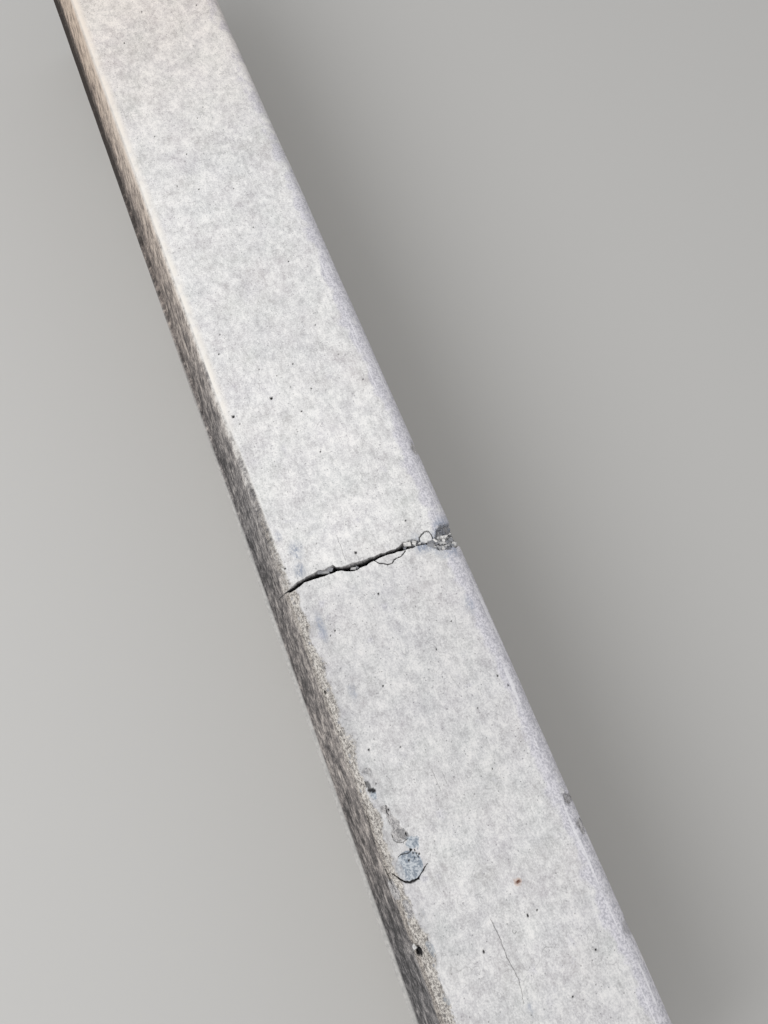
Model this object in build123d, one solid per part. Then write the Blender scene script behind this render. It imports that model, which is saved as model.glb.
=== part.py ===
from build123d import *
import os

# Concrete kerb stone, as laid: top up, road face towards -Y, length along X.
# Sizes are in millimetres. The origin is the centre of the underside.

# Overall sizes
length = 1830.0
height = 300.0
top_width = 190.0

# Road face: a battered upstand above a narrow lip at road level
upstand = 133.0
face_batter = 26.0
lip_width = 6.0
lip_rise = 5.0

# Arrises: the two along the top are rounded, those round the ends only eased
front_arris_radius = 11.0
back_arris_radius = 15.0
lip_radius = 2.5
face_foot_radius = 3.0
end_chamfer = 2.0

# Crack across the top. It wanders across the width, gapes near the front
# arris, closes towards the back and narrows with depth.
crack_station = 285.0
crack_depth = 60.0
crack_floor_share = 0.25

# Each point: share of the top width from the front corner, offset along the
# length from the station, and the gap there. The first lies off the face.
crack_points = [
    (-0.06, 1.5, 0.8),
    (0.00, 0.5, 1.5),
    (0.026, -0.2, 4.5),
    (0.068, -2.0, 6.0),
    (0.11, -4.3, 5.0),
    (0.184, -5.5, 7.0),
    (0.284, -5.5, 8.5),
    (0.33, -2.4, 5.0),
    (0.384, 0.5, 8.5),
    (0.44, 1.0, 7.0),
    (0.52, 0.0, 5.0),
    (0.605, 0.0, 4.0),
    (0.68, -0.2, 5.0),
    (0.735, -1.5, 2.0),
]

# Where the crack runs out at the back, the concrete has crumbled away.
# Each pocket: share of the top width from the front corner, offset along the
# length from the station, diameter of its mouth, and depth.
crumbled_pockets = [
    (0.745, -3.0, 17.0, 3.0),
    (0.80, 2.5, 15.0, 4.0),
    (0.86, 4.5, 20.0, 5.0),
    (0.92, 1.5, 18.0, 5.5),
    (0.945, 13.0, 15.0, 5.0),
    (0.975, 4.0, 20.0, 8.0),
]

# Spalls beside the front arris, where stones have broken out. Each: distance
# along X, distance back from the front corner, diameter, and depth.
front_spalls = [
    (249.0, 27.0, 20.0, 1.5),
    (487.0, 16.0, 15.0, 6.0),
    (498.0, 20.0, 22.0, 3.0),
    (557.0, 18.0, 22.0, 3.0),
    (568.0, 25.0, 30.0, 5.0),
    (640.0, 3.0, 14.0, 6.0),
]

# Chips out of the back arris. Each: distance along X, diameter, and depth.
back_chips = [
    (182.0, 20.0, 3.0),
    (579.0, 16.0, 4.0),
    (622.0, 12.0, 3.0),
]

# How far a cutting shape stands above the top that it cuts
overcut = 1.0

base_width = top_width + face_batter + lip_width
toe_y = -base_width / 2
back_y = base_width / 2
face_foot_y = toe_y + lip_width
front_corner_y = back_y - top_width
lip_z = height - upstand
face_foot_z = lip_z + lip_rise


def corner(section, y, z):
    """The section's corner nearest to a point."""
    return section.vertices().sort_by_distance((y, z))[0]


def kerb_section():
    """Cross-section, seen along the length, with its arrises rounded."""
    outline = Polyline(
        (toe_y, 0),
        (back_y, 0),
        (back_y, height),
        (front_corner_y, height),
        (face_foot_y, face_foot_z),
        (toe_y, lip_z),
        close=True,
    )
    section = make_face(outline)
    section = fillet(corner(section, back_y, height), back_arris_radius)
    section = fillet(corner(section, front_corner_y, height), front_arris_radius)
    section = fillet(corner(section, face_foot_y, face_foot_z), face_foot_radius)
    return fillet(corner(section, toe_y, lip_z), lip_radius)


def kerb_blank():
    """The kerb as cast, with eased edges round its two square ends."""
    blank = extrude(Plane.YZ * kerb_section(), amount=length / 2, both=True)
    ends = blank.faces().filter_by(Axis.X)
    return chamfer(ends.edges(), end_chamfer)


def crack_outline(z, gap_share):
    """Plan outline of the crack at one level, with its gaps scaled by a share."""
    near_side = []
    far_side = []
    for width_share, offset, gap in crack_points:
        y = front_corner_y + width_share * top_width
        x = crack_station + offset
        half_gap = gap * gap_share / 2
        near_side.append((x + half_gap, y, z))
        far_side.append((x - half_gap, y, z))
    return make_face(Polyline(*near_side, *reversed(far_side), close=True))


def crack():
    """Tapered gap that follows the crack, open at the top."""
    mouth = crack_outline(height + overcut, 1.0)
    floor = crack_outline(height - crack_depth, crack_floor_share)
    return loft([floor, mouth], ruled=True)


def scoop(x, y, diameter, depth):
    """Round hollow that broken-out concrete leaves in the top."""
    ball_radius = (diameter**2 / 4 + depth**2) / (2 * depth)
    return Pos(x, y, height - depth + ball_radius) * Sphere(ball_radius)


def broken_hollows():
    """Every hollow in the top: the crack's crumbled end, spalls and chips."""
    hollows = []
    for width_share, offset, diameter, depth in crumbled_pockets:
        y = front_corner_y + width_share * top_width
        hollows.append(scoop(crack_station + offset, y, diameter, depth))
    for x, set_back, diameter, depth in front_spalls:
        hollows.append(scoop(x, front_corner_y + set_back, diameter, depth))
    for x, diameter, depth in back_chips:
        hollows.append(scoop(x, back_y, diameter, depth))
    return hollows


def kerb_stone():
    """One casting: the blank, less its crack and its broken places."""
    stone = kerb_blank() - crack()
    for hollow in broken_hollows():
        stone -= hollow
    return stone


os.makedirs("parts", exist_ok=True)
export_step(kerb_stone(), "parts/kerb_stone.step")
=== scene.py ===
# %% [markdown]
# A weathered concrete kerb stone: a long block with a smooth trowelled top, a leaning road
# face that traffic has blackened, a clean lip at its foot, and a crack right across it.
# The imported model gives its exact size. This script builds a finer surface over that model,
# in metres and in the same place, and gives it a material that shows how it has aged.

import math
import random

import bmesh
import bpy
from mathutils import Euler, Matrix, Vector, noise


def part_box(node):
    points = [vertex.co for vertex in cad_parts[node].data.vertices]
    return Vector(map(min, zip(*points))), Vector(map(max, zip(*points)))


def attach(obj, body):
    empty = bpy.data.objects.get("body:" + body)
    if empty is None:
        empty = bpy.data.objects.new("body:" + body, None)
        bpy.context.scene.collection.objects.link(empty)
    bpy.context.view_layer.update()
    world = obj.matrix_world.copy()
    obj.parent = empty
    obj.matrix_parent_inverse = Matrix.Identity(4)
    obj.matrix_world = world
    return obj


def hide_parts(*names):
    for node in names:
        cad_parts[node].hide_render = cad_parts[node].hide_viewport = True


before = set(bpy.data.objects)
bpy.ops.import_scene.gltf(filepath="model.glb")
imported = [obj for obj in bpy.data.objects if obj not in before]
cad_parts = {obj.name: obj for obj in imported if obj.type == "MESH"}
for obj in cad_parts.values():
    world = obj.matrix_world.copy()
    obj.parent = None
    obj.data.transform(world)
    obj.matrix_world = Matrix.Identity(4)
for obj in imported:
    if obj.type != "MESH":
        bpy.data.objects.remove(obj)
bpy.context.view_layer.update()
mm = 0.001
low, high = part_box("kerb_stone")
print("kerb in mm:", [round(side / mm) for side in high - low])

# %% [markdown]
# The camera comes first, because it decides which surfaces need the most detail. It looks
# down on the kerb from standing height, so that the kerb runs from the top left of the
# picture to the bottom right. A camera at rest looks straight down with the picture's top
# along +Y, so two turns give this view: a tilt about its own X axis, then a heading about Z.

# %% Place the camera
camera_height = 776 * mm
camera_along = 485 * mm
camera_across = -48.5 * mm
camera_tilt = math.radians(18.68)
camera_heading = math.radians(68.39)
camera_lens = 26.9


def put_in_scene(name, data):
    thing = bpy.data.objects.new(name, data)
    bpy.context.scene.collection.objects.link(thing)
    return thing


camera_data = bpy.data.cameras.new("Standing view")
camera_data.sensor_width = 36
camera_data.lens = camera_lens
camera = put_in_scene("Standing view", camera_data)
camera.location = (camera_along, camera_across, high.z + camera_height)
camera.rotation_euler = (camera_tilt, 0, camera_heading)
bpy.context.scene.camera = camera
print("camera at", [round(c, 3) for c in camera.location])

# %% [markdown]
# The kerb's cross-section has six corners: the two at the base, the back of the top, the
# front of the top, the foot of the leaning face, and the edge of the lip. The base and
# back come straight from the frame. The rest are the kerb's own sizes.

# %% Name the section's sizes
toe_y, back_y, top_z = low.y, high.y, high.z
half_length = high.x
top_width = 190 * mm
upstand = 133 * mm
lip_width = 6 * mm
lip_rise = 5 * mm
end_chamfer = 2 * mm

front_y = back_y - top_width
lip_z = top_z - upstand
foot_y = toe_y + lip_width
foot_z = lip_z + lip_rise
section_corners = [
    (toe_y, 0),
    (back_y, 0),
    (back_y, top_z),
    (front_y, top_z),
    (foot_y, foot_z),
    (toe_y, lip_z),
]
face_lean = (front_y - foot_y) / (top_z - foot_z)
print("face leans back", round(math.degrees(math.atan(face_lean)), 1), "degrees")

# %% [markdown]
# One face on those corners, extruded along X, is the whole block. Extruding a lone face
# keeps both its ends, so the block comes out closed. The ends stop short of the full
# length by the width of their chamfer, which is added at the very end.

# %% Extrude the section into a block
kerb = bmesh.new()
start_x = half_length - end_chamfer
section = kerb.faces.new([kerb.verts.new((-start_x, y, z)) for y, z in section_corners])
block = bmesh.ops.extrude_face_region(kerb, geom=[section])
far_corners = [v for v in block["geom"] if isinstance(v, bmesh.types.BMVert)]
bmesh.ops.translate(kerb, verts=far_corners, vec=(2 * start_x, 0, 0))
bmesh.ops.recalc_face_normals(kerb, faces=kerb.faces)
print("block has", len(kerb.faces), "faces")

# %% [markdown]
# A mould or a trowel never leaves a sharp arris. A bevel rounds each long edge by its own
# radius. Bevel measures its offset along the faces, so the radius is multiplied by the
# tangent of half the angle that the surface turns through there.


# %% Round the long arrises
def round_arris(y, z, radius, segments):
    for edge in list(kerb.edges):
        if all(abs(v.co.y - y) < mm / 10 and abs(v.co.z - z) < mm / 10 for v in edge.verts):
            offset = radius * math.tan(edge.calc_face_angle() / 2)
            bmesh.ops.bevel(
                kerb, geom=[edge], offset=offset, offset_type="OFFSET", segments=segments,
                profile=0.5, affect="EDGES", material=-1,
            )
            return


arrises = [
    # y, z, radius, number of segments
    (back_y, top_z, 15 * mm, 9),
    (front_y, top_z, 11 * mm, 7),
    (foot_y, foot_z, 3 * mm, 3),
    (toe_y, lip_z, 2.5 * mm, 3),
]
for arris in arrises:
    round_arris(*arris)
print("rounded block has", len(kerb.faces), "faces")

# %% [markdown]
# The crack is a line across the kerb, so the mesh needs two rows of edges that will become
# its two sides. Cutting planes give them now, while the block is light. Another marks off
# the far part of the kerb, which can do with longer faces.

# %% Cut the crack's two rows
crack_far_row = 282 * mm
crack_near_row = 287 * mm
far_part_end = -420 * mm
row_marks = [far_part_end, crack_far_row, crack_near_row]
for mark in row_marks:
    everything = kerb.verts[:] + kerb.edges[:] + kerb.faces[:]
    bmesh.ops.bisect_plane(kerb, geom=everything, dist=mm / 100, plane_co=(mark, 0, 0), plane_no=(1, 0, 0))
print("rows cut at", [round(mark / mm) for mark in row_marks])

# %% [markdown]
# Relief needs faces of a few millimetres. Every edge that runs across the kerb is divided
# by the step that its panel needs, then every edge that runs along it. Panels that lie in
# the ground get long steps. Edges of one panel, or of one stretch of the kerb, are divided
# in one call, so that their cuts line up from row to row.

# %% Divide the block into a grid
top_step = 3.6 * mm
face_step = 4.4 * mm
lip_step = 2 * mm
buried_step = 18 * mm
base_step = 75 * mm
far_step = 9 * mm
near_step = 6 * mm


def step_across(edge):
    _, y, z = (edge.verts[0].co + edge.verts[1].co) / 2
    if z > top_z - mm:
        return top_step
    if y > back_y - mm or z < lip_z - mm:
        return buried_step if z > mm else base_step
    return lip_step if z < foot_z + mm else face_step


def step_along(edge):
    return far_step if max(v.co.x for v in edge.verts) < far_part_end + mm else near_step


def panel_of(edge):
    _, y, z = (edge.verts[0].co + edge.verts[1].co) / 2
    return round(y / mm), round(z / mm)


def stretch_of(edge):
    return tuple(sorted(round(v.co.x / mm) for v in edge.verts))


def is_crosswise(edge):
    return abs(edge.verts[0].co.x - edge.verts[1].co.x) < mm / 100


def divide(edges, step_of, group_of):
    """Divides edges into steps, with one call for each group of edges."""
    groups = {}
    for edge in edges:
        cuts = round(edge.calc_length() / step_of(edge)) - 1
        if cuts > 0:
            groups.setdefault((group_of(edge), cuts), []).append(edge)
    for (_, cuts), group in groups.items():
        bmesh.ops.subdivide_edges(kerb, edges=group, cuts=cuts, use_grid_fill=True)


divide([e for e in kerb.edges if is_crosswise(e)], step_across, panel_of)
divide([e for e in kerb.edges if not is_crosswise(e)], step_along, stretch_of)
print("grid has", len(kerb.faces), "faces")

# %% [markdown]
# Air bubbles leave small pits in a trowelled top. The clearest ones have their own places
# here, and a seeded random draw adds more over the rest of the kerb.

# %% Choose the places of the pits
pits = [
    # x, y, radius, depth in mm
    (68, -20, 1.9, 2.2), (74, -67, 1.9, 2.2), (96, 6, 1.1, 1.2), (-7, -58, 1.1, 1.2),
    (-32, -49, 1, 1), (86, -63, 1, 1.2), (44, -5, 1, 1), (36, 17, 0.9, 1),
    (73, 26, 1, 1), (150, 9, 1.1, 1.2), (29, -21, 0.9, 0.9), (322, 10, 1.3, 1.3),
    (341, -45, 1, 1), (410, -20, 1.1, 1.2), (462, -55, 1.2, 1.2), (465, 59, 1, 1),
    (443, 90, 1.2, 1.2), (455, 96, 1, 1), (394, -77, 1.9, 3), (272, 4, 1.5, 2),
    (559, -51, 1.3, 1.4), (565, -45, 1.2, 1.4), (567, -56, 1.2, 1), (545, -50, 1.2, 1.6),
    (560.5, -47.5, 0.9, 1.2), (562.2, -50, 0.8, 1), (563.5, -47.2, 0.9, 1.2), (567.3, -46.8, 0.8, 1.2),
    (566.8, -50.2, 0.7, 1), (493, -60, 0.9, 1), (519, -57.5, 1, 1.2), (539, -56, 0.9, 1.2),
    (261, -71, 1.3, 1.4), (-160, 35, 1, 1), (-240, -10, 1.2, 1.2), (-350, 22, 1, 1),
    (-365, 34, 1, 1), (661, -22, 1.3, 1.6), (649, 27, 1.3, 0.4), (696, 72, 1, 1),
]
drawn_pit_count = 40
dice = random.Random(31)
for _ in range(drawn_pit_count):
    pits.append((dice.uniform(-880, 880), dice.uniform(-66, 92), dice.uniform(0.6, 1.1), 1))
print(len(pits), "pits")

# %% [markdown]
# Hairlines and scratches are lines too thin for the grid. Each is a few points on the
# top, joined by straight lines that noise then bends. The hairlines loosen a
# flake beside the crack, ring a loose bit at its end, and part the bare stone from its bed.

# %% Choose the lines of the hairlines and scratches
hairlines = [
    # points along the line with its width there, then its depth, in mm
    ([(286.6, 18.5, 1), (292, 23.5, 1.2), (296.4, 30.2, 1.3)], 2.2),
    ([(296.4, 30.2, 1.3), (296.4, 36, 1.2), (293, 41.8, 1.2)], 2.2),
    ([(293, 41.8, 1.2), (293.3, 46.9, 1.2), (291.5, 50.5, 1.4), (289.5, 53, 1.7)], 2.2),
    ([(287, 70.5, 1.9), (283, 72.2, 1.6), (279.2, 75.5, 1.4), (277.4, 80, 1.3)], 1.8),
    ([(277.4, 80, 1.3), (278.8, 84, 1.3), (282.5, 85.8, 1.5), (287.5, 85, 1.8)], 1.8),
    ([(572, -75.2, 0.8), (575.3, -72.3, 1), (578.4, -70, 1.3), (581.4, -67, 1.9)], 3),
    ([(581.4, -67, 1.9), (583.8, -63, 2.5), (585, -57.6, 2.1), (583.9, -52.9, 1.4)], 2.8),
    ([(583.9, -52.9, 1.4), (580.6, -48.5, 1.2), (575.5, -41.5, 0.6)], 2),
    ([(560.4, -64.3, 0.9), (559.6, -60.6, 1.1), (560.7, -53.7, 0.9), (559.5, -49.6, 1)], 1.6),
    ([(513.6, -78.4, 0.7), (522, -79.9, 1.3), (529, -80, 1.3), (542, -80.6, 0.9)], 1.4),
    ([(515, -58.6, 1.2), (519, -60, 1), (524, -59.2, 0.8)], 1.2),
    ([(541, -62.5, 0.7), (545, -63, 1), (549, -60, 1.1), (550.5, -55, 1), (549, -50, 0.7)], 1),
    ([(566.7, -80.3, 0.7), (573.6, -79.5, 1.2), (580, -79.6, 1.2), (588, -78, 0.8)], 1.3),
]
scratches = [
    ([(246.8, -8.3, 0.9), (275.7, -8.5, 0.9)], 0.5),
    ([(371.3, 74.8, 0.9), (385.7, 71.9, 0.9)], 0.3),
    ([(427.6, 47.2, 0.9), (440.4, 50.4, 0.9)], 0.3),
    ([(448.6, 68.5, 1), (454.7, 67.9, 1)], 0.3),
    ([(500.5, -5, 0.9), (522, -4.7, 0.9)], 0.45),
    ([(506.6, 2.9, 0.9), (517.5, 3.4, 0.9)], 0.35),
    ([(639.5, -5.4, 1.1), (655, -3.9, 1.1), (672.8, -4.4, 1)], 0.7),
    ([(672.8, -4.4, 1), (691.6, -1.8, 0.9), (710.8, -5.2, 0.7)], 0.6),
    ([(680, 27, 0.7), (677.5, 32, 0.9), (680.5, 37, 0.7)], 0.5),
    ([(654.6, 9.4, 0.7), (656.2, 8.8, 0.7), (657.9, 10.6, 0.7), (656.6, 12.7, 0.7)], 0.6),
]


def wobble(x, y, z, size, seed=0):
    """Smooth noise from -1 to 1 with bumps of about the given size in millimetres."""
    return noise.noise(Vector((x / size + seed, y / size - seed, z / size)))


def from_line(x, y, points):
    """Distance in mm from a point of the top to a line, and the line's width there."""
    nearest, width_there = 99, 1
    for (ax, ay, width_a), (bx, by, width_b) in zip(points, points[1:]):
        dx, dy = bx - ax, by - ay
        share = ((x - ax) * dx + (y - ay) * dy) / (dx * dx + dy * dy)
        share = min(1, max(0, share))
        distance = math.hypot(x - ax - share * dx, y - ay - share * dy)
        if distance < nearest:
            nearest, width_there = distance, width_a + (width_b - width_a) * share
    return nearest, width_there


room_to_spare = 4


def fine_lines_near(x, y):
    """The lines whose boxes, with some room to spare, hold a point of the top."""
    found = []
    for points, depth in hairlines + scratches:
        xs, ys, _ = zip(*points)
        beside = min(xs) - room_to_spare < x < max(xs) + room_to_spare
        if beside and min(ys) - room_to_spare < y < max(ys) + room_to_spare:
            found.append((points, depth))
    return found


print(len(hairlines), "hairlines and", len(scratches), "scratches")

# %% [markdown]
# The crack's two sides wander apart and together across the top, and down the road face and
# the back it is only a hairline. Each side is a few points, joined by straight
# lines, with noise of two sizes so that it looks broken. The mesh near the crack will be
# slid along X until its two rows of edges lie on these sides. The slide fades out over a
# few centimetres, so the mesh is only stretched a little.

# %% Describe the crack's two sides
crack_far_side = [
    (-80, 285), (-74, 282.5), (-66, 279.8), (-58, 278.4), (-51, 277), (-43, 275.9), (-38, 275),
    (-34, 276.9), (-28, 275.9), (-23, 275.2), (-21, 279), (-15, 280.8), (-8, 280.7), (2, 281.9),
    (10, 282.5), (22, 282.5), (37, 282.9), (44, 283.4), (49, 282), (53, 280.4), (57, 283), (60, 286),
    (67, 287.4), (76, 289), (82, 290.2), (112, 291),
]
crack_near_side = [
    (-80, 286), (-74, 287), (-68, 286.2), (-62, 284.3), (-57, 282.6), (-51, 282.6), (-44, 283.2),
    (-35, 284), (-22, 284.2), (-17, 284.6), (-12, 287.6), (-6, 290), (3, 289.8), (10, 288.7),
    (19, 287.4), (27, 286.5), (34, 286.9), (47, 287.9), (52, 288.9), (57, 288.4), (60, 288.2), (67, 289.4),
    (76, 290.7), (82, 290.9), (112, 291.6),
]


def read_line(points, place):
    """Value at a place along a list of (place, value) points, joined by straight lines."""
    if place <= points[0][0]:
        return points[0][1]
    for (a, value_a), (b, value_b) in zip(points, points[1:]):
        if place <= b:
            return value_a + (value_b - value_a) * (place - a) / (b - a)
    return points[-1][1]


def crack_sides(y, z):
    """X of the far and near side of the crack at a point of the kerb's surface, in metres."""
    below_top = max(0, top_z - z) / mm
    drift = -0.16 * below_top + 2.5 * wobble(0, y / mm, z / mm, 30, 5) * min(1, below_top / 20)
    sides = []
    for points, seed in ((crack_far_side, 0), (crack_near_side, 7)):
        frayed = 0.75 * wobble(0, y / mm, z / mm, 6, seed) + 0.5 * wobble(0, y / mm, z / mm, 2.3, seed + 3)
        sides.append((read_line(points, y / mm) + drift + frayed) * mm)
    far_x, near_x = sides
    return far_x, max(near_x, far_x + 0.5 * mm)


slide_reach = 26 * mm
hem_z = 240 * mm
hem_height = 30 * mm


def slid(x, y, z):
    """Where the slide takes the X of a point, in metres."""
    if not crack_far_row - slide_reach < x < crack_near_row + slide_reach:
        return x
    far_x, near_x = crack_sides(y, z)
    hem_fade = min(1, max(0, (z - hem_z + hem_height) / hem_height))
    if x <= (crack_far_row + crack_near_row) / 2:
        fade = min(1, 1 - (crack_far_row - x) / slide_reach)
        return x + (far_x - crack_far_row) * fade * hem_fade
    fade = min(1, 1 - (x - crack_near_row) / slide_reach)
    return x + (near_x - crack_near_row) * fade * hem_fade


middle_far_x, middle_near_x = crack_sides(0, top_z)
print("crack is", round((middle_near_x - middle_far_x) / mm, 1), "mm wide at y = 0")

# %% [markdown]
# Only some places need millimetre detail: the crack with its crumbled end, the pits, the
# worn front arris and the spalls beside it. Dividing just those faces again keeps the whole
# mesh light. Fine lines take four rounds, each in a narrower band than the last.

# %% Refine the damaged places
damage_rooms = [
    # low x, high x, low y, high y and depth below the top, in mm
    (257, 317, -112, 112, 20),
    (470, 602, -85, -33, 12),
    (626, 654, -93, -65, 12),
    (560, 616, 95, 112, 12),
]
arris_rooms = [
    (120, 915, -91, -55, 34),
    (120, 915, 97, 112, 14),
]
rust_spot = (620.6, 30.4)


def in_any(rooms, p):
    x, y, below_top = p.x / mm, p.y / mm, (top_z - p.z) / mm
    return any(x0 < x < x1 and y0 < y < y1 and below_top < depth for x0, x1, y0, y1, depth in rooms)


def around_spot(p):
    """Whether a point of the top is close to a pit or to the rust spot."""
    if p.z < top_z - 3 * mm:
        return False
    x, y = p.x / mm, p.y / mm
    if math.hypot(x - rust_spot[0], y - rust_spot[1]) < 6:
        return True
    return any(abs(x - pit[0]) < 6 and abs(y - pit[1]) < 5 for pit in pits)


def near_fine_line(p, reach):
    x, y = slid(*p) / mm, p.y / mm
    on_top = p.z > top_z - 14 * mm
    return on_top and any(from_line(x, y, points)[0] < reach for points, _ in fine_lines_near(x, y))


def needs_most(p):
    return in_any(damage_rooms, p) or around_spot(p)


def refine(inside):
    faces = [f for f in kerb.faces if inside(f.calc_center_median())]
    edges = list(dict.fromkeys(e for f in faces for e in f.edges))
    bmesh.ops.subdivide_edges(kerb, edges=edges, cuts=1, use_grid_fill=True)


refine(lambda p: needs_most(p) or in_any(arris_rooms, p) or near_fine_line(p, 6))
refine(lambda p: needs_most(p) or near_fine_line(p, 4))
refine(lambda p: near_fine_line(p, 2.2))
refine(lambda p: near_fine_line(p, 1.3))
print("refined to", len(kerb.faces), "faces")

# %% [markdown]
# Now the crack's mouth is opened. The faces between the two rows are deleted, which leaves
# one long hole, and then the mesh is slid to the crack's sides.


# %% Open the crack's mouth
def in_mouth(face):
    centre = face.calc_center_median()
    return crack_far_row < centre.x < crack_near_row and centre.z > hem_z


mouth = [f for f in kerb.faces if in_mouth(f)]
bmesh.ops.delete(kerb, geom=mouth, context="FACES")
for vert in kerb.verts:
    vert.co.x = slid(*vert.co)
print("mouth of", len(mouth), "faces opened")

# %% [markdown]
# The masks that the material reads are float layers on the mesh's own points: how dirty,
# worn or broken each spot is, and how much shade is painted on it. The crack's walls are
# made later, and inherit them.

# %% Add the mask layers
mask_names = [
    "grime", "lip", "pale", "stain_and_shade", "worn", "broken", "stone", "crumb", "deep_shade", "dusty", "buried", "cool",
    "warm", "rust",
]
masks = {name: kerb.verts.layers.float.new(name) for name in mask_names}


def raise_mask(vert, name, value):
    """Lifts a mask at a point to a value, where it is lower."""
    vert[masks[name]] = max(value, vert[masks[name]])


def smooth_step(low_end, high_end, value):
    share = min(1, max(0, (value - low_end) / (high_end - low_end)))
    return share * share * (3 - 2 * share)


print("masks:", ", ".join(masks))

# %% [markdown]
# Spalls are places where the surface has broken out. Each is an ellipse with a steep rim
# and a rough floor, in which the broken inside, a grey stone or deep shade may show.

# %% Describe the spalls
spalls = [
    # x, y, radius along, radius across, turn in degrees, depth, shares of broken, stone, dark
    (490, -60, 10, 7.5, 10, 0.8, 0.34, 0, 0),
    (491.5, -67.4, 6, 2.1, 8, 2.2, 0.3, 0.2, 0.55),
    (497.4, -65.4, 4.6, 2.1, 60, 2.8, 0.3, 0.1, 0.75),
    (480, -64, 5.5, 4.5, 60, 1.4, 0.6, 0.3, 0.15),
    (502, -66, 5, 3.5, 0, 0.5, 0, 0.9, 0),
    (519, -60, 6, 4, 40, 1.5, 0.6, 0.1, 0.04),
    (531, -57, 14, 5, 20, 1.3, 0.62, 0.15, 0),
    (544, -52.5, 7, 5, 25, 1.9, 0.8, 0.3, 0.3),
    (543, -58, 9, 4.5, 20, 1.1, 0.62, 0.1, 0.05),
    (554, -47, 7, 6.5, 0, 0.7, 0, 0.85, 0),
    (586, -79, 11, 4, 5, 2, 0.8, 0.1, 0.1),
    (604, -72, 10, 4, 10, 1.4, 0.8, 0.2, 0),
    (612, -62, 8, 4, -20, 0.8, 0.4, 0.3, 0),
    (633, -79, 5, 4, 20, 1.2, 0.2, 0, 0),
    (640, -76, 4.5, 3.2, 0, 6, 0.6, 0, 0.9),
    (642, -65, 9, 3.5, 10, 0.7, 0, 0.5, 0),
    (684, -68, 7, 4, 0, 0.8, 0.2, 0.4, 0),
    (182, 108, 9, 5, 0, 2.5, 0.6, 0, 0),
    (573, 106, 6, 5, 20, 4, 0.5, 0, 0.2),
    (599, 107, 9, 4.5, 0, 3.5, 0.5, 0, 0.1),
    (693, 109, 9, 6, 0, 3, 0.4, 0, 0.15),
]
widest_spall = 20


def sink_spalls(vert, shift, x, y, z):
    """Lowers a point, given in mm, by the deepest spall there and fills its masks."""
    found = [0, 0, 0, 0]
    for centre_x, centre_y, along_x, across_y, turn, depth, broken, stone, dark in spalls:
        dx, dy = x - centre_x, y - centre_y
        if abs(dx) > widest_spall or abs(dy) > widest_spall:
            continue
        cos, sin = math.cos(math.radians(turn)), math.sin(math.radians(turn))
        reach = math.hypot((dx * cos + dy * sin) / along_x, (dy * cos - dx * sin) / across_y)
        ragged = 0.34 * wobble(x, y, z, 4.5, 3) + 0.2 * wobble(x, y, z, 1.8, 8)
        inside = 1 - smooth_step(0.74, 1.05, reach + ragged)
        if inside > 0:
            floor = depth * (0.75 + 0.45 * wobble(x, y, z, 3, 11))
            found = [max(old, inside * new) for old, new in zip(found, (floor, broken, stone, dark))]
    shift.z -= found[0]
    for name, share in zip(("broken", "stone", "deep_shade"), found[1:]):
        vert[masks[name]] = share


print(len(spalls), "spalls")

# %% [markdown]
# One round stone, as wide as a bottle cap, lies bare beside the front arris, as a low dome
# in a shallow hollow. The dark crescent where the mortar has parted from it is made of
# hairlines from the list above.

# %% Describe the bare stone
bare_stone_centre = (571.5, -57.5)
bare_stone_radius = 13


def set_bare_stone(vert, shift, x, y, z):
    """Shapes the stone's dome and shows its colour in place of sand and wear."""
    dx, dy = x - bare_stone_centre[0], y - bare_stone_centre[1]
    distance = math.hypot(dx, dy)
    edge = bare_stone_radius * (1 + 0.07 * wobble(x, y, z, 9, 21) + 0.05 * wobble(x, y, z, 3, 22))
    on_stone = smooth_step(0.8, -0.8, distance - edge)
    dome = 0.4 + 0.7 * (distance / edge) ** 2 + 0.3 * wobble(x, y, z, 4, 23)
    bluish = 0.42 + 0.58 * smooth_step(-9, 0, dy)
    shift.z = min(shift.z, -on_stone * dome)
    raise_mask(vert, "stone", on_stone * bluish)
    vert[masks["broken"]] *= 1 - on_stone * bluish
    vert[masks["worn"]] *= 1 - on_stone * bluish


print("bare stone", 2 * bare_stone_radius, "mm across")

# %% [markdown]
# Grime is read from lines given along the kerb. At the arris itself it is light where
# feet keep it clean and heavy near the damaged part. It thickens within a few centimetres
# below the arris, and again slowly down to the road. The warm line tints the face brown,
# partly its own colour and partly painted warm light reflected onto it.

# %% Describe how the grime lies
grime_at_arris = [
    (-525, 0.08), (-225, 0.12), (-75, 0.16), (60, 0.24), (120, 0.4), (185, 0.62), (450, 0.48), (660, 0.7),
]
grime_just_below = [
    (-525, 0.12), (-375, 0.2), (-225, 0.46), (-75, 0.61), (60, 0.62), (180, 0.28), (450, 0.32), (660, 0.39),
]
grime_reach_in = [(60, 3), (130, 8), (270, 9), (290, 3)]
# towards the far end the face darkens down to the road: partly grime, partly a painted cast shadow
grime_and_shadow_lower_down = [
    (-525, 0.42), (-375, 0.42), (-225, 0.2), (-75, 0.08), (60, 0.2), (180, 0.12), (450, 0.05), (915, 0),
]
# warm tint of the face, strongest at the far end: partly its own brown, partly painted reflected light
warm_along = [
    (-600, 1), (-375, 0.75), (-225, 0.7), (-75, 0.5), (60, 0.25), (180, 0.1), (300, 0.3), (560, 0.35),
    (660, 0.05),
]
# darker still at the foot of the far end: partly dirt, partly a painted cast shadow
foot_dirt_and_shadow = [(-600, 0.5), (-450, 0.42), (-300, 0.2), (-150, 0)]
# darkening of the back edge: partly dirt, partly painted shade
back_dirt_and_shade = [(-600, 0.2), (0, 0.12), (150, 0)]
lip_width_clean = [(-600, 1.5), (-100, 2), (60, 2.8), (150, 4), (300, 5), (915, 5.4)]
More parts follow.
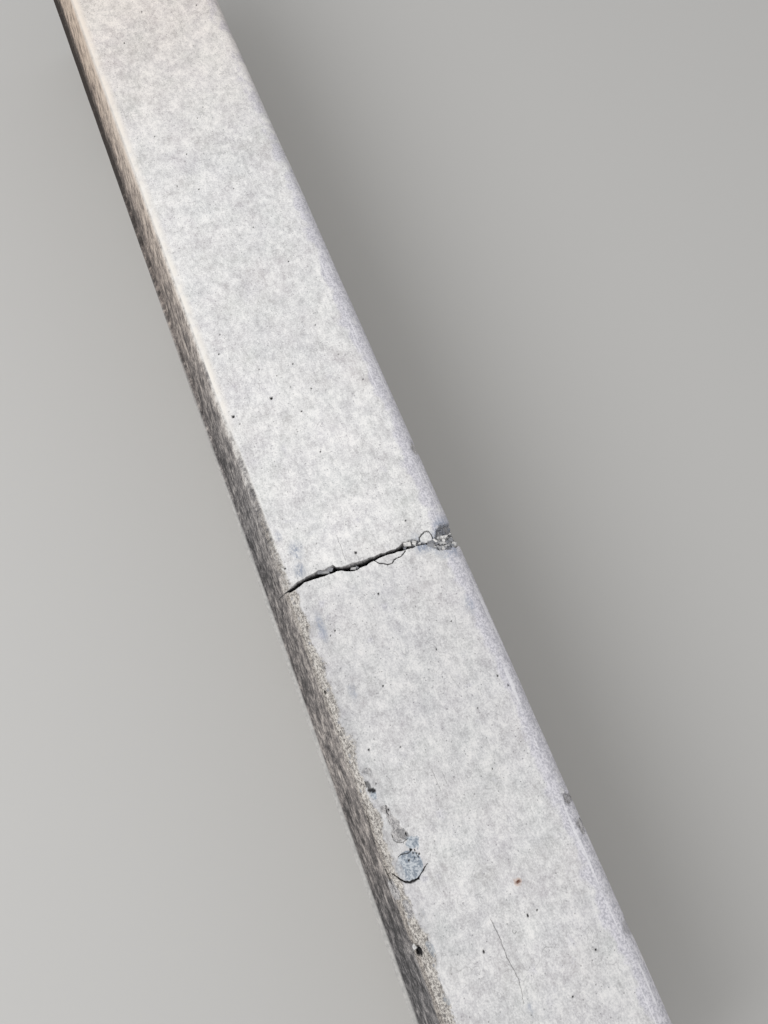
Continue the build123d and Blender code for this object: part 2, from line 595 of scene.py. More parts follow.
# the lip is dark at the far end, where a cast shadow is painted on it
lip_brightness = [(-600, 0), (-300, 0.08), (-150, 0.38), (-50, 0.68), (80, 1)]
back_band = [(-600, 0.45), (-250, 0.5), (-75, 0.95), (60, 1), (915, 0.9)]


def grime_and_shadow_at(x, below_top):
    at_arris = read_line(grime_at_arris, x) * smooth_step(0, 1.4, below_top)
    just_below = read_line(grime_just_below, x) * (1 - math.exp(-max(0, below_top - 1) / 20))
    near_foot = smooth_step(90, 118, below_top) + 0.8 * smooth_step(122, 130, below_top)
    lower_down = read_line(grime_and_shadow_lower_down, x) * below_top / 110
    return at_arris + just_below + lower_down + read_line(foot_dirt_and_shadow, x) * near_foot


def soil_sides(vert, x, y, z):
    """Fills the masks of the road face, the lip and what lies in the ground."""
    below_top, from_front = top_z / mm - z, y - front_y / mm
    above_lip = z - lip_z / mm
    reach_in = read_line(grime_reach_in, x)
    if from_front < reach_in and above_lip > -3:
        on_side = smooth_step(reach_in, reach_in / 3, from_front)
        vert[masks["grime"]] = on_side * grime_and_shadow_at(x, max(below_top, 2))
    if -12 < above_lip and z < foot_z / mm + 3 and from_front < 0:
        clean = read_line(lip_width_clean, x)
        on_lip = smooth_step(clean + 1.2, clean - 1.6, y - toe_y / mm)
        vert[masks["lip"]] = read_line(lip_brightness, x) * on_lip
    if y < back_y / mm - 1 and above_lip < -2:
        vert[masks["buried"]] = smooth_step(2, 12, -above_lip)
    if y > 60 and below_top > 18:
        raise_mask(vert, "buried", smooth_step(18, 34, below_top))
    # the back edge darkens outwards: partly dirt, partly painted shade
    if y > 100 and below_top < 20:
        raise_mask(vert, "deep_shade", read_line(back_dirt_and_shade, x) * smooth_step(101, 109, y))


def tint_arrises(vert, x, y, z):
    """Fills the masks of the painted shade on the back arris, the warm face and the top's tints."""
    below_top, from_front = top_z / mm - z, y - front_y / mm
    # cool band of painted shade on the back arris
    band = smooth_step(28, 12, back_y / mm - y) * (below_top < 22)
    vert[masks["cool"]] = band * read_line(back_band, x)
    on_face = smooth_step(3, -3, from_front)
    # warm on the face, and on the top at the far end: partly painted warm reflected light
    vert[masks["warm"]] = max(on_face * read_line(warm_along, x), 0.35 * smooth_step(-200, -640, x))
    if below_top < 6:
        # pale front arris: partly cream colour, partly a painted highlight
        edge_only = smooth_step(13, 4, from_front) * smooth_step(-4, 0, from_front)
        vert[masks["pale"]] = edge_only * smooth_step(120, 40, x)
        # past the crack the top is darker, most near the front arris: partly stain, partly painted shade
        near_front = smooth_step(45, 8, from_front) * smooth_step(680, 600, x)
        vert[masks["stain_and_shade"]] = smooth_step(250, 340, x) * (0.5 + 0.5 * near_front)


print("grime by depth at mid-length:", [round(grime_and_shadow_at(0, depth), 2) for depth in (1, 10, 50, 120)])

# %% [markdown]
# The front arris is worn down more and more towards +X. It is scraped along its length, so
# the wear is a noise whose bumps are much longer in X than across.

# %% Describe the worn arris
worn_along = [
    (-915, 0.06), (60, 0.08), (130, 0.2), (200, 0.42), (284, 0.5), (290, 0.9), (340, 0.8), (400, 0.85),
    (470, 0.85), (560, 1), (620, 1), (700, 0.95), (760, 0.7), (915, 0.55),
]
worn_width = [(-915, 6), (100, 7), (200, 10), (290, 16), (400, 13), (560, 15), (700, 18), (915, 12)]


def wear_arris(vert, shift, x, y, z):
    """Moves a point inwards by its wear and fills the worn mask."""
    from_front = y - front_y / mm
    over_arris = math.hypot(max(0, from_front), max(0, top_z / mm - z))
    side_share = 1 if from_front > 2 else 0.8
    reach = read_line(worn_width, x) * side_share * (1 + 0.5 * wobble(x, y, z, 14, 5))
    worn = read_line(worn_along, x) * smooth_step(reach, reach * 0.3, over_arris)
    scrape = noise.noise(Vector((x / 16, y / 3, z / 3 + 6)))
    scrape += 0.6 * noise.noise(Vector((x / 5, y / 2, z / 2)))
    shift -= vert.normal * worn * (1 + 0.75 * scrape + 0.9 * wobble(x, y, z, 30, 9))
    vert[masks["worn"]] = worn


print("worn band", [width for _, width in worn_width], "mm wide along the kerb")

# %% [markdown]
# At the back end of the crack the concrete has crumbled into a hollow between two ragged
# edges. Its grey dust lies on both sides, but not on the loose flake there, and a few
# smears of it lie further off.

# %% Describe the crumbled end and its dust
crumble_near_edge = [
    (50, 285), (52, 287.5), (60, 288.5), (76, 290.5), (79, 293), (82, 297.5), (87, 301.5), (95, 305),
    (103, 304.5), (114, 303),
]
crumble_far_edge = [
    (50, 284), (52, 280.5), (56, 279.6), (62, 280.2), (68, 281.5), (70.5, 285), (73, 288), (84, 289),
    (89, 286), (93, 279), (99, 276), (114, 275),
]
loose_flake = (283.4, 79)
dust_width = 13
smears = [
    # x, y, radius along, radius across in mm, strength
    (247, -54, 15, 10, 1), (268, -58, 12, 9, 0.9), (333, -57, 22, 6, 0.8), (367, 93, 14, 7, 0.7),
    (225, -66, 9, 5, 0.6), (405, -50, 12, 6, 0.5), (716, -2, 6, 5, 0.7),
]


def crumble(vert, shift, x, y, z):
    """Hollows out the crack's back end and fills the masks of its inside and dust."""
    near_x = read_line(crumble_near_edge, y) + 1.6 * wobble(x, y, z, 4, 12)
    far_x = read_line(crumble_far_edge, y) + 1.6 * wobble(x, y, z, 4, 13)
    inside = smooth_step(-0.5, 1.5, near_x - x) * smooth_step(-0.5, 1.5, x - far_x)
    lumps = 0.5 + 0.5 * wobble(x, y, z, 3.2, 14)
    hollow = inside * (2.6 + 3 * lumps) * smooth_step(50, 53, y)
    outward = smooth_step(92, 108, y)
    shift.z -= hollow * (1 + 0.3 * outward)
    shift.y -= inside * outward * 2
    raise_mask(vert, "broken", inside)
    # painted shade in the crumbled hollow, lighter on its lumps
    vert[masks["deep_shade"]] = inside * (0.42 - 0.3 * lumps)
    if x < (far_x + near_x) / 2:
        off_flake = smooth_step(5, 8, math.hypot(x - loose_flake[0], y - loose_flake[1]))
        dust_reach = dust_width * (1 + 0.6 * wobble(x, y, z, 7, 15))
        dust = 0.9 * smooth_step(dust_reach, 1, far_x - x) * smooth_step(58, 76, y) * off_flake
    else:
        dust_reach = dust_width * (1 + 0.5 * wobble(x, y, z, 5, 16))
        dust = smooth_step(dust_reach, 4, x - near_x) * smooth_step(60, 68, y) * smooth_step(108, 100, y)
    vert[masks["dusty"]] = dust * (1 - 0.4 * inside)


def smear_and_rust(vert, x, y):
    """Fills the masks of the dust smears and of the rust spot."""
    for smear_x, smear_y, along_x, across_y, strength in smears:
        reach = math.hypot((x - smear_x) / along_x, (y - smear_y) / across_y)
        if reach < 1:
            raise_mask(vert, "dusty", strength * smooth_step(1, 0.3, reach))
    from_spot = math.hypot(x - rust_spot[0], y - rust_spot[1]) + 2.4 * wobble(x, y, 0, 2.6, 61)
    vert[masks["rust"]] = smooth_step(5.2, 0.6, from_spot)


print(len(smears), "smears of dust")

# %% [markdown]
# Hairlines, scratches and pits are sunk last. Two noises bend a line before a point's
# distance from it is taken. A deeper line is also darker, because less light gets in.


# %% Describe how lines and pits are sunk
def sink_lines(vert, shift, x, y):
    for points, depth in fine_lines_near(x, y):
        bend_x = x + 0.8 * wobble(x, y, 0, 5, 41) + 0.45 * wobble(x, y, 0, 2.1, 51)
        bend_y = y + 0.8 * wobble(x, y, 0, 5, 47) + 0.45 * wobble(x, y, 0, 2.1, 57)
        distance, width = from_line(bend_x, bend_y, points)
        width *= 1 + 0.5 * wobble(x, y, 0, 4, 43)
        in_line = smooth_step(0.6 * width, 0.2 * width, distance)
        shift.z -= in_line * depth
        shade = min(0.8, 0.15 + 0.27 * depth) * (1 + 0.3 * wobble(x, y, 0, 6, 45))
        raise_mask(vert, "deep_shade", in_line * shade)


def sink_pits(vert, shift, x, y):
    for pit_x, pit_y, radius, depth in pits:
        if abs(x - pit_x) < 4 and abs(y - pit_y) < 4:
            hole = smooth_step(radius * 1.25, radius * 0.5, math.hypot(x - pit_x, y - pit_y))
            shift.z -= hole * depth
            # painted shade at the bottom of each pit
            raise_mask(vert, "deep_shade", hole * 0.9)


print("deepest line", max(depth for _, depth in hairlines + scratches), "mm")

# %% [markdown]
# One walk over all points calls these helpers where they can have an effect. Long gentle
# waves come first, since the kerb was cast and trowelled by hand. The moves are only made
# after the walk, and they fade out towards the flat ends.

# %% Shape the surface and fill the masks
end_fade = 25
kerb.normal_update()
shifts = []
for vert in kerb.verts:
    x, y, z = (c / mm for c in vert.co)
    below_top = top_z / mm - z
    waves = 0.5 * wobble(x, y, z, 160, 1) + 0.22 * wobble(x, y, z, 38, 2)
    shift = vert.normal * (waves + 0.08 * wobble(x, y, z, 9, 4))
    if below_top < 45 and y - front_y / mm < 45:
        wear_arris(vert, shift, x, y, z)
    if below_top < 20:
        sink_spalls(vert, shift, x, y, z)
    if below_top < 12 and abs(x - bare_stone_centre[0]) < 20 and y < bare_stone_centre[1] + 20:
        set_bare_stone(vert, shift, x, y, z)
    if 262 < x < 318 and y > 49 and below_top < 26:
        crumble(vert, shift, x, y, z)
    if below_top < 6:
        smear_and_rust(vert, x, y)
    if below_top < 14:
        sink_lines(vert, shift, x, y)
    if below_top < 2.5:
        sink_pits(vert, shift, x, y)
    soil_sides(vert, x, y, z)
    tint_arrises(vert, x, y, z)
    near_end = smooth_step(0, end_fade, start_x / mm - abs(x))
    shifts.append(shift * near_end * (1 if z > 2 else 0))

for vert, shift in zip(kerb.verts, shifts):
    vert.co += shift * mm
print("largest move in mm:", round(max(s.length for s in shifts), 1))

# %% [markdown]
# The crack's walls grow from the hole's edge. Each step extrudes that edge inwards and
# moves it: the far wall slopes at first and then drops, the near wall is nearly upright,
# and at the bottom the two meet. Extruded points carry their masks along, so the painted
# shade, darker with depth, only has to be raised step by step.

# %% Sink the crack's walls
crack_steps = [
    # depth in mm, how far the far and near side have closed, painted shade
    (1, 0.07, 0.02, 0.2),
    (3, 0.26, 0.05, 0.5),
    (7, 0.42, 0.08, 0.88),
    (20, 0.52, 0.14, 1),
    (52, 0.76, 0.18, 1),
]


def depth_share(y, z):
    """Share of the full depth, small near the arrises so that the walls don't cross."""
    if top_z - z > 12 * mm:
        return 0.14
    from_sides = min(smooth_step(0, 30, (y - front_y) / mm), smooth_step(0, 45, (back_y - y) / mm))
    return 0.14 + 0.86 * from_sides


rim = [e for e in kerb.edges if e.is_boundary]
kerb.normal_update()
heart = Vector((0, (front_y + back_y) / 2, top_z - 60 * mm))
wall = []
for vert in dict.fromkeys(v for e in rim for v in e.verts):
    far_x, near_x = crack_sides(vert.co.y, vert.co.z)
    is_far = abs(vert.co.x - far_x) < abs(vert.co.x - near_x)
    to_heart = Vector((0, heart.y - vert.co.y, heart.z - vert.co.z)).normalized()
    inward = (to_heart * 0.4 - Vector((0, vert.normal.y, vert.normal.z))).normalized()
    if inward.dot(to_heart) < 0.3:
        inward = to_heart
    wall.append((vert, vert.co.copy(), inward, is_far, near_x - far_x, depth_share(vert.co.y, vert.co.z)))
wall.sort(key=lambda row: (row[3], row[1].y, row[1].z))

for depth, far_close, near_close, deep_shade in crack_steps:
    grown = bmesh.ops.extrude_edge_only(kerb, edges=rim)
    new_verts = {v for v in grown["geom"] if isinstance(v, bmesh.types.BMVert)}
    rim = [e for e in grown["geom"] if isinstance(e, bmesh.types.BMEdge) and e.is_boundary]
    next_wall = []
    for old, start, inward, is_far, gap, share in wall:
        new = next(e.other_vert(old) for e in old.link_edges if e.other_vert(old) in new_verts)
        close = gap * (far_close if is_far else -near_close)
        rough = 0.5 * min(1, depth / 5) * wobble(start.x / mm, start.y / mm, depth, 3, 20)
        if gap > 2 * mm:
            rough += 0.5 * min(1, depth / 3) * wobble(start.x / mm, start.y / mm, depth, 1.5, 27)
        new.co = start + inward * depth * share * mm + Vector((close + rough * mm, 0, 0))
        raise_mask(new, "deep_shade", deep_shade)
        new[masks["broken"]] = 1
        new[masks["grime"]] = 0
        next_wall.append((new, start, inward, is_far, gap, share))
    wall = next_wall
floor = bmesh.ops.holes_fill(kerb, edges=rim, sides=0)
print("walls sunk; floor of", len(floor["faces"]), "faces")

# %% [markdown]
# Where the crack runs out, broken bits lie in a heap, and a few have dropped into its mouth.
# Each starts as a small cube. Its corners are shaken, it is tilted and turned, and a convex
# hull gives it flat broken facets.


# %% Scatter the broken bits
def add_bit(x, y, sink, size, stretch, turn, tone, height=0.7, tilt=14):
    """One angular bit, its centre sunk below the top; sizes in mm and angles in degrees."""
    verts = bmesh.ops.create_cube(kerb, size=1)["verts"]
    cube_edges = list(dict.fromkeys(e for v in verts for e in v.link_edges))
    bmesh.ops.delete(kerb, geom=cube_edges, context="EDGES_FACES")
    for vert in verts:
        vert.co += Vector([dice.uniform(-0.24, 0.24) for _ in range(3)])
    bmesh.ops.scale(kerb, verts=verts, vec=(size, size * stretch, size * height))
    lean = Euler((math.radians(dice.uniform(-tilt, tilt)), math.radians(dice.uniform(-tilt, tilt)), 0))
    bmesh.ops.rotate(kerb, verts=verts, matrix=lean.to_matrix())
    bmesh.ops.rotate(kerb, verts=verts, matrix=Euler((0, 0, math.radians(turn))).to_matrix())
    for vert in verts:
        vert.co = (vert.co + Vector((x, y, -sink))) * mm + Vector((0, 0, top_z))
        vert[masks["crumb"]] = tone
    bmesh.ops.convex_hull(kerb, input=verts)
    loose = [v for v in verts if not v.link_faces]
    bmesh.ops.delete(kerb, geom=loose, context="VERTS")


placed_bits = [
    # x, y, sink and size in mm, stretch, turn in degrees, tone, then height and tilt if not the usual ones
    (277.4, -38.5, 3.2, 5.5, 0.6, 84, 0.5, 0.6, 26),
    (279.4, -33, 3.2, 6, 0.6, 76, 0.62, 0.5, 24),
    (278.6, -27.2, 3, 4.8, 0.65, 66, 0.48, 0.6, 26),
    (281.6, -30, 4.4, 4, 0.6, 60, 0.35, 0.6, 20),
    (286.6, -4.5, 2.6, 4.4, 0.6, 75, 0.75, 0.6),
    (287.2, -0.5, 3.2, 3, 0.7, 40, 0.5),
    (283.2, 58, 1.9, 6.4, 0.62, 75, 1, 0.6, 6),
    (284.9, 65.4, 1.8, 4.8, 0.8, 60, 0.95, 0.7, 8),
    (281.2, 63.4, 2, 3.2, 0.8, 10, 0.5),
    (281.8, 68.6, 1.8, 3, 0.8, 30, 0.6),
    (286.9, 70.4, 1.8, 2.4, 0.8, 50, 0.7),
    (285.9, 54, 3, 2.6, 0.8, 50, 0.4),
    (293.6, 80.5, 2, 6, 0.8, 60, 0.5, 0.6, 8),
    (290.6, 86.5, 1.6, 4.6, 0.7, 30, 1, 0.7),
    (290.3, 96, 1.9, 8, 0.36, 78, 0.85, 0.4, 12),
    (634.4, -78.7, 1.2, 4.4, 0.6, 20, 0.85, 0.5, 6),
]
for bit in placed_bits:
    add_bit(*bit)
heap_bit_count = 84
for _ in range(heap_bit_count):
    y = dice.uniform(80, 105)
    near_x = read_line(crumble_near_edge, y)
    heap_far_x = max(read_line(crumble_far_edge, y), 287.5)
    x = heap_far_x + (near_x - heap_far_x) * dice.uniform(0.02, 0.96)
    size = dice.triangular(1.6, 5.5, 2.4)
    sink = dice.uniform(0.6, 3.2) + max(0, y - 95) * 0.45 + 0.3 * size
    tone = dice.choice([0.44, 0.5, 0.56, 0.62, 0.7, 0.88])
    add_bit(x, y, sink, size, dice.uniform(0.6, 0.95), dice.uniform(0, 180), tone)
hollow_bit_count = 12
for _ in range(hollow_bit_count):
    x, y = dice.uniform(277, 286), dice.uniform(93, 106)
    add_bit(x, y, dice.uniform(3, 5), dice.uniform(1.5, 3), 0.8, dice.uniform(0, 180), 0.3)
print(len(kerb.faces), "faces with the bits")

# %% [markdown]
# Insetting each end face by the width of the chamfer, and pushing it out by as much, eases
# its edges and brings the kerb to its full length. The ends butt against the next kerbs, so
# no road dirt has reached them and they keep the soil's colour.

# %% Ease the edges round both ends
kerb.normal_update()
outermost = [f for f in kerb.faces if abs(f.calc_center_median().x) > start_x - mm]
end_faces = [f for f in outermost if abs(f.normal.x) > 0.99]
bmesh.ops.inset_region(kerb, faces=end_faces, thickness=end_chamfer, depth=end_chamfer, use_boundary=True)
for face in end_faces:
    for vert in face.verts:
        for name, layer in masks.items():
            vert[layer] = 1 if name == "buried" else 0
print(len(end_faces), "end faces eased")

# %% Turn the bmesh into the kerb's object
open_edges = sum(1 for e in kerb.edges if not e.is_manifold)
kerb_mesh = bpy.data.meshes.new("weathered_kerb")
kerb.to_mesh(kerb_mesh)
kerb.free()
kerb_mesh.shade_smooth()
kerb_mesh.set_sharp_from_angle(angle=math.radians(42))
weathered_kerb = put_in_scene("weathered_kerb", kerb_mesh)
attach(weathered_kerb, "root")
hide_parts("kerb_stone")
kerb_mesh.calc_loop_triangles()
print("triangles:", len(kerb_mesh.loop_triangles), "open edges:", open_edges)

# %% [markdown]
# The concrete's colour is built in layers, as it aged. First comes the trowelled skin. Then
# the grime, the soil, the worn arris, the broken places and the dark of the crack are laid
# over it, each by its mask. A few short helpers keep the node building readable.

# %% Start the concrete material
concrete = bpy.data.materials.new("Weathered concrete")
concrete.use_nodes = True
tree = concrete.node_tree
tree.nodes.clear()


def linear(red, green, blue):
    """A colour given as it looks on screen, 0 to 255, as the linear values that Blender mixes."""
    shares = [value / 255 for value in (red, green, blue)]
    return (*[s / 12.92 if s <= 0.04045 else ((s + 0.055) / 1.055) ** 2.4 for s in shares], 1)


def add(kind, **values):
    node = tree.nodes.new(kind)
    for name, value in values.items():
        setattr(node, name, value)
    return node


def put(value, socket):
    """Links a node's output to a socket, or sets the socket to a plain value."""
    if isinstance(value, bpy.types.NodeSocket):
        tree.links.new(value, socket)
    else:
        socket.default_value = value


def math_of(operation, a, b=0):
    node = add("ShaderNodeMath", operation=operation)
    put(a, node.inputs[0])
    put(b, node.inputs[1])
    return node.outputs[0]


def times(a, b):
    return math_of("MULTIPLY", a, b)


def ramp(value, start, end, to_start=0, to_end=1):
    """Smoothly takes a value from one range to another."""
    node = add("ShaderNodeMapRange", interpolation_type="SMOOTHSTEP")
    put(value, node.inputs["Value"])
    limits = {"From Min": start, "From Max": end, "To Min": to_start, "To Max": to_end}
    for name, limit in limits.items():
        node.inputs[name].default_value = limit
    return node.outputs["Result"]


def blend(share, first, second, mode="MIX"):
    node = add("ShaderNodeMix", data_type="RGBA", blend_type=mode)
    put(share, node.inputs[0])
    put(first, node.inputs[6])
    put(second, node.inputs[7])
    return node.outputs[2]


def colour_steps(value, steps):
    node = add("ShaderNodeValToRGB")
    put(value, node.inputs["Fac"])
    while len(node.color_ramp.elements) < len(steps):
        node.color_ramp.elements.new(1)
    for element, (position, colour) in zip(node.color_ramp.elements, steps):
        element.position = position
        element.color = colour
    return node.outputs["Color"]


def mask(name):
    return add("ShaderNodeAttribute", attribute_name=name, attribute_type="GEOMETRY").outputs["Fac"]


place = add("ShaderNodeTexCoord").outputs["Object"]


def stretched(scale_x, scale_y, scale_z):
    node = add("ShaderNodeMapping")
    put(place, node.inputs["Vector"])
    node.inputs["Scale"].default_value = (scale_x, scale_y, scale_z)
    return node.outputs["Vector"]


def cloud(vector, scale, detail=2, roughness=0.5, output="Fac"):
    node = add("ShaderNodeTexNoise")
    put(vector, node.inputs["Vector"])
    node.inputs["Scale"].default_value = scale
    node.inputs["Detail"].default_value = detail
    node.inputs["Roughness"].default_value = roughness
    return node.outputs[output]


def cells(vector, scale):
    """Distance to the nearest of many scattered points, and a random tone for each point."""
    node = add("ShaderNodeTexVoronoi")
    put(vector, node.inputs["Vector"])
    node.inputs["Scale"].default_value = scale
    tone = add("ShaderNodeSeparateColor")
    put(node.outputs["Color"], tone.inputs[0])
    return node.outputs["Distance"], tone.outputs[0]


def jittered(share, jitter, amount, start, end):
    """A mask whose edge is broken up by noise."""
    return ramp(math_of("ADD", share, around_zero((jitter, amount))), start, end)


def around_zero(*weighted):
    """The sum of several noises, each moved down by a half and times its weight."""
    total = 0
    for texture, weight in weighted:
        part = times(math_of("SUBTRACT", texture, 0.5), weight)
        total = math_of("ADD", part, total)
    return total


print("material helpers ready")

# %% [markdown]
# The trowelled skin is mottled at every size at once, from cloudy patches a hand wide down
# to single grains of sand. A noise whose octaves are nearly as strong as each other gives
# that, where a usual noise looks soft. The noises are added up to one tone, and a row of
# greys turns it into colour. A faint overlay of coloured noise adds the pink, green and
# lavender of damp concrete. Short curved marks, as of a trowel, are the places where one
# more noise crosses its middle value.

# %% Lay down the trowelled skin
wide_patches = cloud(place, 9, 2, 0.5)
even_mottle = cloud(stretched(66, 78, 78), 1, 5, 0.92)
blotches = cloud(place, 48, 4, 0.6)
mottle = cloud(place, 190, 3, 0.65)
flecks = cloud(place, 520, 2, 0.6)
trowel_marks = cloud(stretched(45, 330, 330), 1, 3, 0.65)
speck_distance, speck_tone = cells(place, 330)

tone = around_zero((wide_patches, 0.5), (even_mottle, 3), (flecks, 1.2), (trowel_marks, 0.5))
skin = colour_steps(math_of("ADD", tone, 0.5), [
    (0, linear(190, 188, 189)),
    (0.3, linear(209, 208, 208)),
    (0.5, linear(219, 218, 218)),
    (0.7, linear(231, 230, 229)),
    (1, linear(244, 242, 240)),
])
# dark specks at tiny pits, which the bump below also sinks
dark_pit_specks = times(ramp(speck_distance, 0.3, 0.12), ramp(speck_tone, 0.86, 0.9))
skin = blend(times(dark_pit_specks, 0.6), skin, linear(126, 124, 128))
skin = blend(0.05, skin, cloud(place, 22, 3, 0.6, "Color"), "OVERLAY")
edge_of_cloud = math_of("ABSOLUTE", math_of("SUBTRACT", cloud(place, 75, 1, 0.6), 0.5))
marks = times(ramp(edge_of_cloud, 0.012, 0.004), ramp(cloud(place, 33, 1), 0.54, 0.6))
skin = blend(times(marks, 0.35), skin, linear(150, 148, 150))
# darker top past the crack: partly stain, partly painted shade
stain_and_shade_share = times(mask("stain_and_shade"), ramp(wide_patches, 0.35, 0.65, 0.7, 1.3))
skin = blend(stain_and_shade_share, skin, (0.78, 0.78, 0.79, 1), "MULTIPLY")
print("skin laid")

# %% [markdown]
# The back arris is painted in shade, a cooler and darker grey, with a few painted
# highlight lines along it. The front arris is pale where it isn't worn, partly its cream
# colour and partly a painted highlight. Both edges are patchy, so noise breaks them up.

# %% Tint the skin along the arrises
# painted shade on the back arris, in a cool grey
band_share = jittered(mask("cool"), blotches, 2.4, 0.3, 0.8)
grainy = math_of("ADD", around_zero((mottle, 0.7), (flecks, 1)), 0.5)
band_colour = blend(ramp(grainy, 0.3, 0.7), linear(174, 173, 181), linear(220, 218, 224))
skin = blend(times(band_share, 0.9), skin, band_colour)
# painted highlight lines along the back arris
painted_highlight_lines = times(ramp(cloud(stretched(12, 300, 300), 1, 2), 0.58, 0.66), mask("cool"))
skin = blend(times(painted_highlight_lines, 0.65), skin, linear(236, 235, 238))
# pale front arris: partly cream colour, partly a painted highlight
pale_share = times(mask("pale"), ramp(blotches, 0.3, 0.6, 0.3, 1))
skin = blend(pale_share, skin, linear(234, 229, 222))
print("arrises tinted")

# %% [markdown]
# The road face has been splashed and scraped for years, so its grime lies in smears of
# several sizes. They shift the point at which one row of colours is read: pale grey where
# it is thin, then mid grey, then nearly black. The warm mask tints it, and the clean lip
# and the soil below the road come last.

# %% Lay the grime on the road face
smudges = cloud(stretched(54, 46, 46), 1, 6, 0.9)
drips = cloud(stretched(130, 70, 70), 1, 4, 0.8)
long_streaks = cloud(stretched(7, 130, 130), 1, 3, 0.6)
grime = mask("grime")
smear_shift = around_zero((smudges, 3.8), (drips, 1.2), (long_streaks, 0.7))
smear_shift = times(smear_shift, ramp(grime, 0, 0.3))
grime_depth = math_of("ADD", grime, smear_shift)
thickest = 1.6
grime_colour = colour_steps(math_of("DIVIDE", grime_depth, thickest), [
    (0, linear(218, 216, 213)),
    (0.1, linear(208, 206, 203)),
    (0.21, linear(190, 187, 184)),
    (0.39, linear(149, 146, 145)),
    (0.56, linear(111, 109, 110)),
    (0.73, linear(76, 75, 76)),
    (0.84, linear(56, 55, 56)),
])
colour = blend(ramp(grime, 0.01, 0.12), skin, grime_colour)
# warm tint: partly the face's own brown, partly painted warm reflected light
colour = blend(mask("warm"), colour, (1, 0.84, 0.71, 1), "MULTIPLY")
lip_colour = blend(ramp(mottle, 0.3, 0.7), linear(166, 165, 163), linear(190, 188, 185))
colour = blend(mask("lip"), colour, lip_colour)
soil = blend(ramp(cloud(place, 16, 6, 0.8), 0.3, 0.7), linear(160, 154, 146), linear(188, 184, 177))
soil = blend(ramp(flecks, 0.35, 0.65, 0, 0.25), soil, linear(140, 133, 126))
colour = blend(jittered(mask("buried"), blotches, 0.9, 0.3, 0.7), colour, soil)
print("grime laid")

# %% [markdown]
# Where the skin has worn off, sand and small stones show, pepper and salt. Sand is a fine
# noise, a little longer in X because it was scraped that way, and a stone is one Voronoi
# cell in five. Freshly broken concrete is a cooler grey, and inside the crack it falls into
# shade.

# %% Lay the worn and broken places
sand = cloud(stretched(330, 460, 460), 1, 5, 0.95)
stone_distance, stone_tone = cells(stretched(180, 260, 260), 1)
small_stones = times(ramp(stone_distance, 0.42, 0.3), ramp(stone_tone, 0.76, 0.8))
small_stone_colour = blend(ramp(stone_tone, 0.86, 0.9), linear(150, 152, 158), linear(96, 93, 92))
sandy = blend(ramp(sand, 0.41, 0.59), linear(112, 107, 104), linear(222, 217, 210))
sandy = blend(times(small_stones, 0.7), sandy, small_stone_colour)
dirty_sand = blend(ramp(sand, 0.41, 0.59), linear(90, 86, 84), linear(184, 176, 168))
worn_share = jittered(mask("worn"), grainy, 1.1, 0.22, 0.62)
colour = blend(worn_share, colour, blend(ramp(grime, 0.1, 0.75, 0, 0.85), sandy, dirty_sand))

inside = blend(ramp(sand, 0.36, 0.64), linear(104, 103, 107), linear(214, 211, 209))
colour = blend(jittered(mask("broken"), flecks, 0.5, 0.25, 0.6), colour, inside)
stone_face = blend(ramp(grainy, 0.36, 0.64), linear(134, 143, 154), linear(196, 201, 206))
colour = blend(jittered(mask("stone"), mottle, 0.5, 0.2, 0.7), colour, stone_face)
brushed = cloud(stretched(200, 420, 420), 1, 3, 0.7)
dust_share = times(mask("dusty"), ramp(brushed, 0.36, 0.58, 0.2, 1))
dust_share = times(dust_share, ramp(blotches, 0.4, 0.55, 0.5, 1))
colour = blend(dust_share, colour, linear(148, 155, 170))
rust = mask("rust")
colour = blend(ramp(rust, 0.05, 0.5, 0, 0.45), colour, linear(188, 152, 130))
rust_share = times(ramp(rust, 0.6, 0.95), ramp(flecks, 0.35, 0.55, 0.5, 1))
colour = blend(rust_share, colour, linear(98, 64, 48))
crumb = mask("crumb")
crumb_colour = blend(ramp(crumb, 0.3, 1), linear(112, 115, 122), linear(230, 228, 225))
crumb_colour = blend(ramp(grainy, 0.35, 0.7, 0, 0.6), crumb_colour, linear(128, 128, 132))
colour = blend(ramp(crumb, 0.05, 0.2), colour, crumb_colour)
# painted shade in the crack, the pits, the fine lines, the spalls and the hollow, near black where
# strongest
colour = blend(ramp(mask("deep_shade"), 0, 0.85), colour, linear(38, 37, 39))
print("worn and broken places laid")

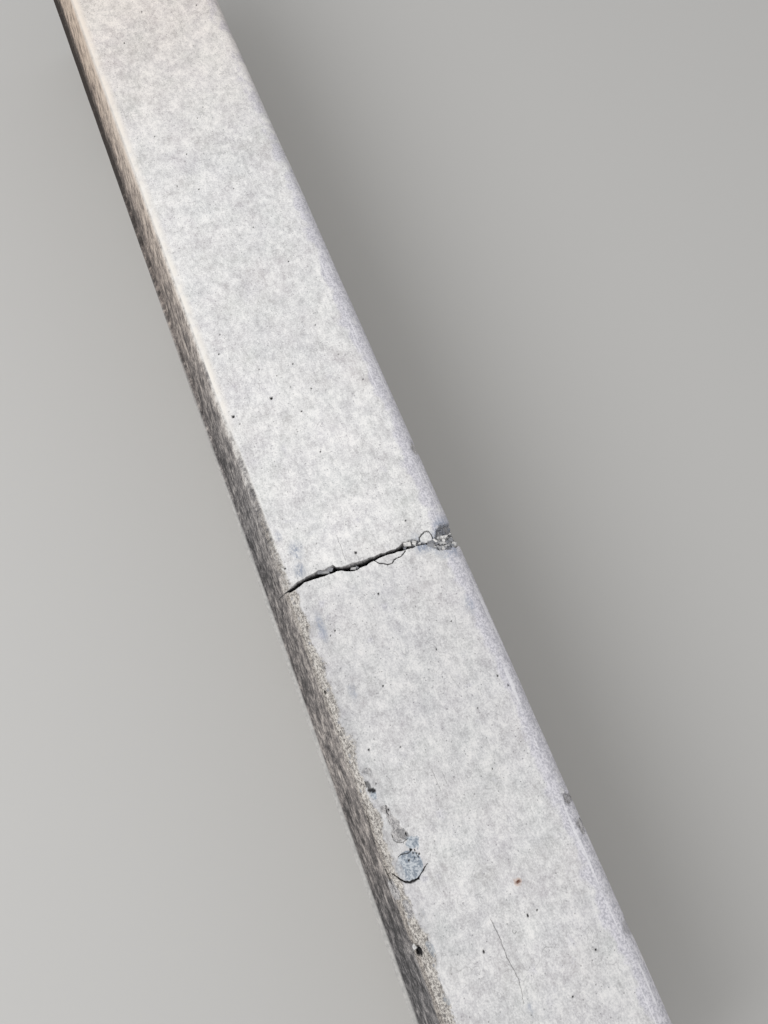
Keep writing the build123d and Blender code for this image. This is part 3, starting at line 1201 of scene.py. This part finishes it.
# %% Add the fine relief and close the material
shader = add("ShaderNodeBsdfPrincipled")
relief = math_of("ADD", times(mottle, 0.5), times(flecks, 0.35))
relief = math_of("SUBTRACT", relief, times(dark_pit_specks, 0.5))
relief = math_of("SUBTRACT", relief, ramp(trowel_marks, 0.6, 0.74, 0, 0.25))
relief = math_of("ADD", relief, times(times(worn_share, sand), 1.6))
relief = math_of("ADD", relief, times(times(grime, smudges), 0.5))
bump = add("ShaderNodeBump")
bump.inputs["Strength"].default_value = 0.6
bump.inputs["Distance"].default_value = 0.8 * mm
put(relief, bump.inputs["Height"])
put(colour, shader.inputs["Base Color"])
put(bump.outputs["Normal"], shader.inputs["Normal"])
put(ramp(flecks, 0.3, 0.7, 0.86, 0.97), shader.inputs["Roughness"])
shader.inputs["Specular IOR Level"].default_value = 0.3
surface = add("ShaderNodeOutputMaterial")
put(shader.outputs["BSDF"], surface.inputs["Surface"])
kerb_mesh.materials.append(concrete)
print(len(tree.nodes), "nodes in the concrete")

# %% [markdown]
# The stage is a plain pale floor and a soft light: an even sky from all round, and one
# broad lamp high above the kerb that gives the relief a side to catch.

# %% Set the floor and the light
floor_sheet = bmesh.new()
bmesh.ops.create_grid(floor_sheet, x_segments=1, y_segments=1, size=12)
floor_mesh = bpy.data.meshes.new("Studio floor")
floor_sheet.to_mesh(floor_mesh)
floor_sheet.free()
studio_floor = put_in_scene("Studio floor", floor_mesh)

floor_paint = bpy.data.materials.new("Pale floor")
floor_paint.use_nodes = True
floor_shader = floor_paint.node_tree.nodes["Principled BSDF"]
floor_shader.inputs["Base Color"].default_value = linear(192, 191, 189)
floor_shader.inputs["Roughness"].default_value = 0.9
floor_mesh.materials.append(floor_paint)

sky = bpy.data.worlds.new("Even sky")
sky.use_nodes = True
background = sky.node_tree.nodes["Background"]
background.inputs["Color"].default_value = (1, 1, 1, 1)
background.inputs["Strength"].default_value = 0.66
bpy.context.scene.world = sky

lamp_data = bpy.data.lights.new("Broad lamp", "AREA")
lamp_data.shape = "DISK"
lamp_data.size = 2.4
lamp_data.energy = 48
lamp = put_in_scene("Broad lamp", lamp_data)
lamp.location = (0.3, -1.9, 2.6)
lamp.rotation_euler = (Vector((0.1, 0, 0.25)) - lamp.location).to_track_quat("-Z", "Y").to_euler()
bpy.context.scene.view_settings.view_transform = "Standard"
print("stage set")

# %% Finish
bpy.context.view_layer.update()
